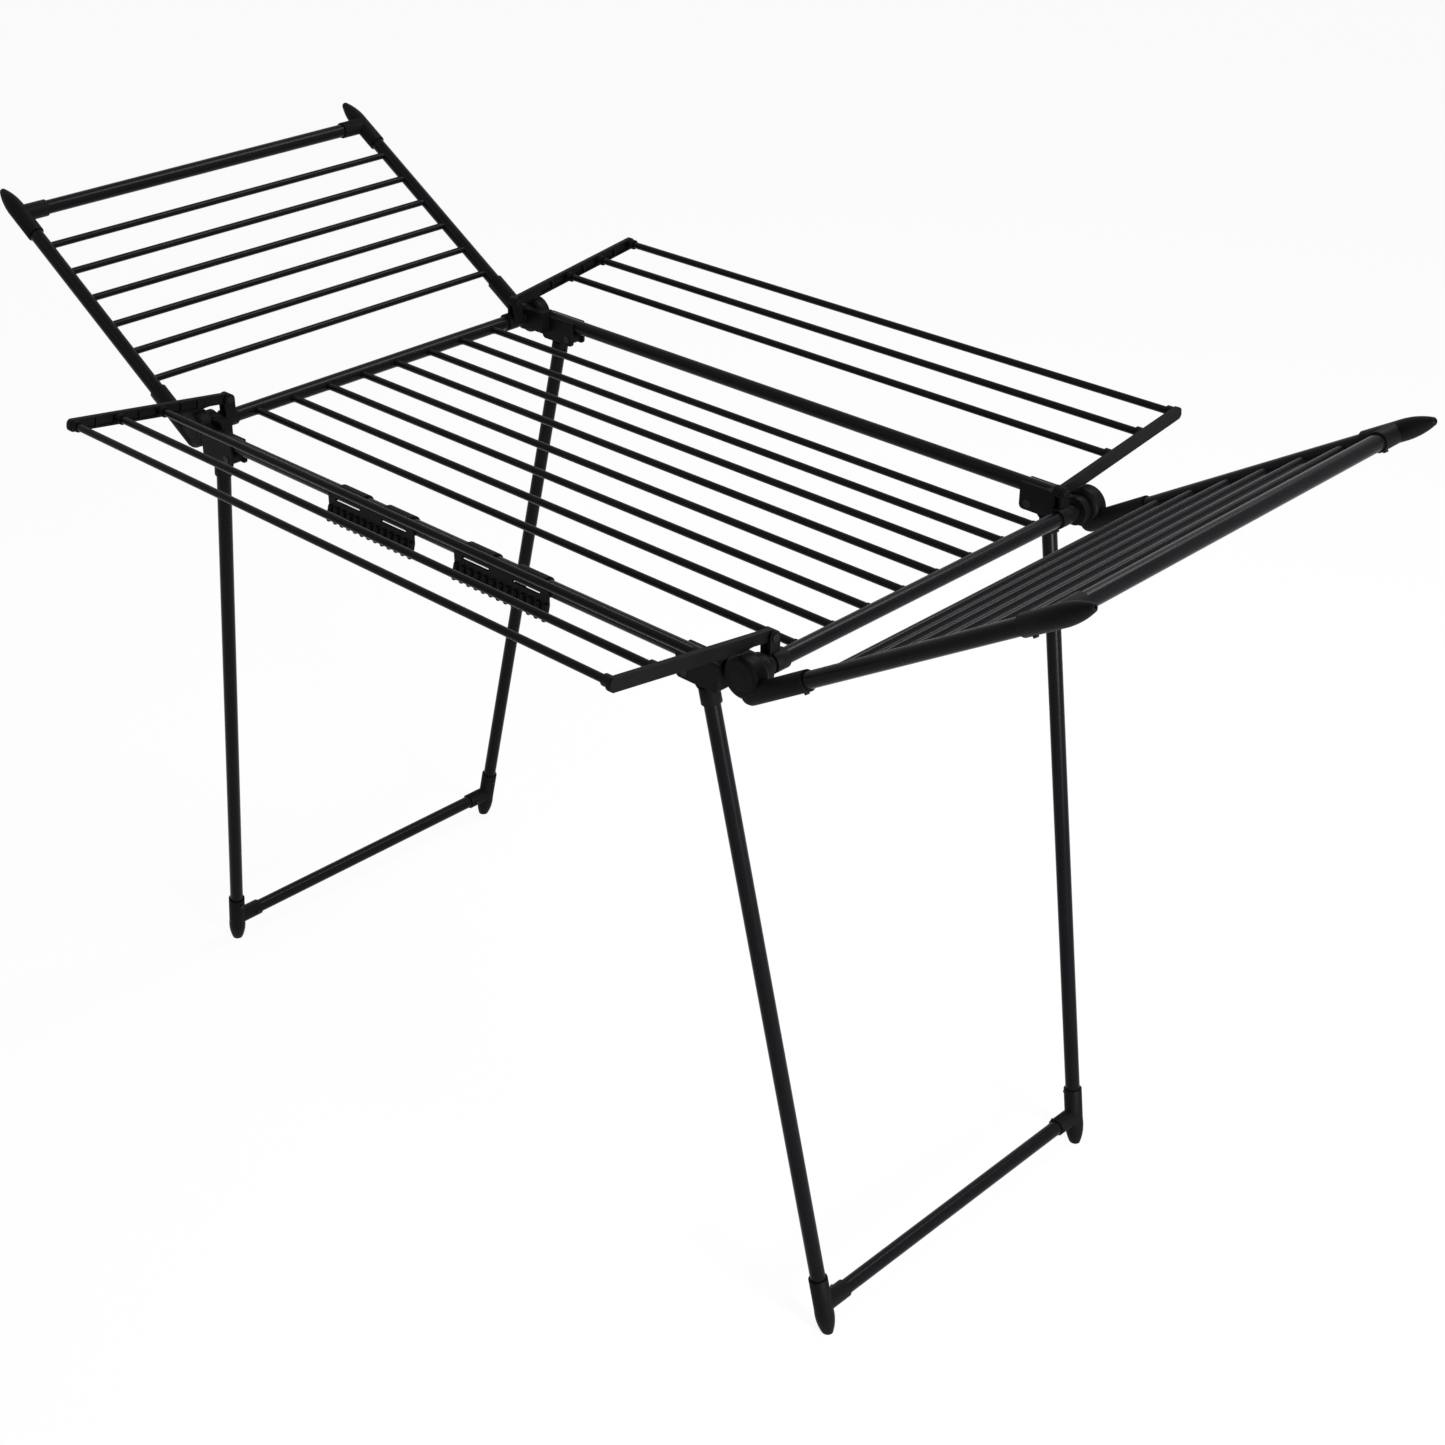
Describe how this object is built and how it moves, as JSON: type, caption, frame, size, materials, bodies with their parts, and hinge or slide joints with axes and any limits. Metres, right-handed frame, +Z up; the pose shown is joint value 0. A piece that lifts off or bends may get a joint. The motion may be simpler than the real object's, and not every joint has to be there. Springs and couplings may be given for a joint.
{
  "type": "clothes drying rack",
  "caption": "Free-standing folding laundry rack with a wire deck, raised end wings, hinged side flaps, splayed folding leg frames and clip-on small-item combs.",
  "frame": {"origin": "centre of the footprint on the floor", "axes": "+X along the deck wires towards the right wing, +Y from front to back, +Z up"},
  "size_m": [1.8258, 0.998, 1.123],
  "materials": {
    "coated_steel": "satin black powder coat on steel tube",
    "moulded_plastic": "fine-grained black polypropylene",
    "pin_steel": "black finished steel"
  },
  "bodies": {
    "deck": {"back_left_bracket": "moulded_plastic", "back_left_collar": "moulded_plastic", "back_right_bracket": "moulded_plastic", "back_right_collar": "moulded_plastic", "back_side_rail": "coated_steel", "deck_wire_plugs": "moulded_plastic", "deck_wires": "coated_steel", "flap_pins": "pin_steel", "front_left_bracket": "moulded_plastic", "front_left_collar": "moulded_plastic", "front_right_bracket": "moulded_plastic", "front_right_collar": "moulded_plastic", "front_side_rail": "coated_steel", "left_end_rail": "coated_steel", "leg_pins": "pin_steel", "right_end_rail": "coated_steel", "wing_pins": "pin_steel"},
    "left_wing": {"left_wing_back_corner": "moulded_plastic", "left_wing_back_elbow": "moulded_plastic", "left_wing_back_tube": "coated_steel", "left_wing_bar": "coated_steel", "left_wing_front_corner": "moulded_plastic", "left_wing_front_elbow": "moulded_plastic", "left_wing_front_tube": "coated_steel", "left_wing_pegs": "pin_steel", "left_wing_wires": "coated_steel"},
    "right_wing": {"right_wing_back_corner": "moulded_plastic", "right_wing_back_elbow": "moulded_plastic", "right_wing_back_tube": "coated_steel", "right_wing_bar": "coated_steel", "right_wing_front_corner": "moulded_plastic", "right_wing_front_elbow": "moulded_plastic", "right_wing_front_tube": "coated_steel", "right_wing_pegs": "pin_steel", "right_wing_wires": "coated_steel"},
    "front_flap": {"front_flap_left_arm": "moulded_plastic", "front_flap_right_arm": "moulded_plastic", "front_flap_wires": "coated_steel"},
    "back_flap": {"back_flap_left_arm": "moulded_plastic", "back_flap_right_arm": "moulded_plastic", "back_flap_wires": "coated_steel"},
    "left_legs": {"left_legs_back_foot": "moulded_plastic", "left_legs_back_knuckle": "moulded_plastic", "left_legs_back_tube": "coated_steel", "left_legs_foot_bar": "coated_steel", "left_legs_front_foot": "moulded_plastic", "left_legs_front_knuckle": "moulded_plastic", "left_legs_front_tube": "coated_steel", "left_legs_pegs": "pin_steel"},
    "right_legs": {"right_legs_back_foot": "moulded_plastic", "right_legs_back_knuckle": "moulded_plastic", "right_legs_back_tube": "coated_steel", "right_legs_foot_bar": "coated_steel", "right_legs_front_foot": "moulded_plastic", "right_legs_front_knuckle": "moulded_plastic", "right_legs_front_tube": "coated_steel", "right_legs_pegs": "pin_steel"},
    "left_comb": {"left_comb": "moulded_plastic"},
    "right_comb": {"right_comb": "moulded_plastic"}
  },
  "joints": [
    {"name": "left_wing_fold", "type": "hinge", "parent": "deck", "child": "left_wing", "pos_m": [-0.49, 0, 0.89], "axis": [0, 1, 0], "range_deg": [0, 72]},
    {"name": "right_wing_fold", "type": "hinge", "parent": "deck", "child": "right_wing", "pos_m": [0.49, 0, 0.89], "axis": [0, -1, 0], "range_deg": [0, 72]},
    {"name": "front_flap_fold", "type": "hinge", "parent": "deck", "child": "front_flap", "pos_m": [0, -0.2575, 0.919], "axis": [-1, 0, 0], "range_deg": [0, 171]},
    {"name": "back_flap_fold", "type": "hinge", "parent": "deck", "child": "back_flap", "pos_m": [0, 0.2575, 0.919], "axis": [1, 0, 0], "range_deg": [0, 171]},
    {"name": "left_legs_fold", "type": "hinge", "parent": "deck", "child": "left_legs", "pos_m": [-0.412, 0, 0.871], "axis": [0, -1, 0], "range_deg": [0, 100.8]},
    {"name": "right_legs_fold", "type": "hinge", "parent": "deck", "child": "right_legs", "pos_m": [0.412, 0, 0.871], "axis": [0, 1, 0], "range_deg": [0, 96.8]},
    {"name": "left_comb_slide", "type": "slide", "parent": "deck", "child": "left_comb", "axis": [1, 0, 0], "range_m": [-0.15, 0.03]},
    {"name": "right_comb_slide", "type": "slide", "parent": "deck", "child": "right_comb", "axis": [1, 0, 0], "range_m": [-0.03, 0.15]}
  ]
}
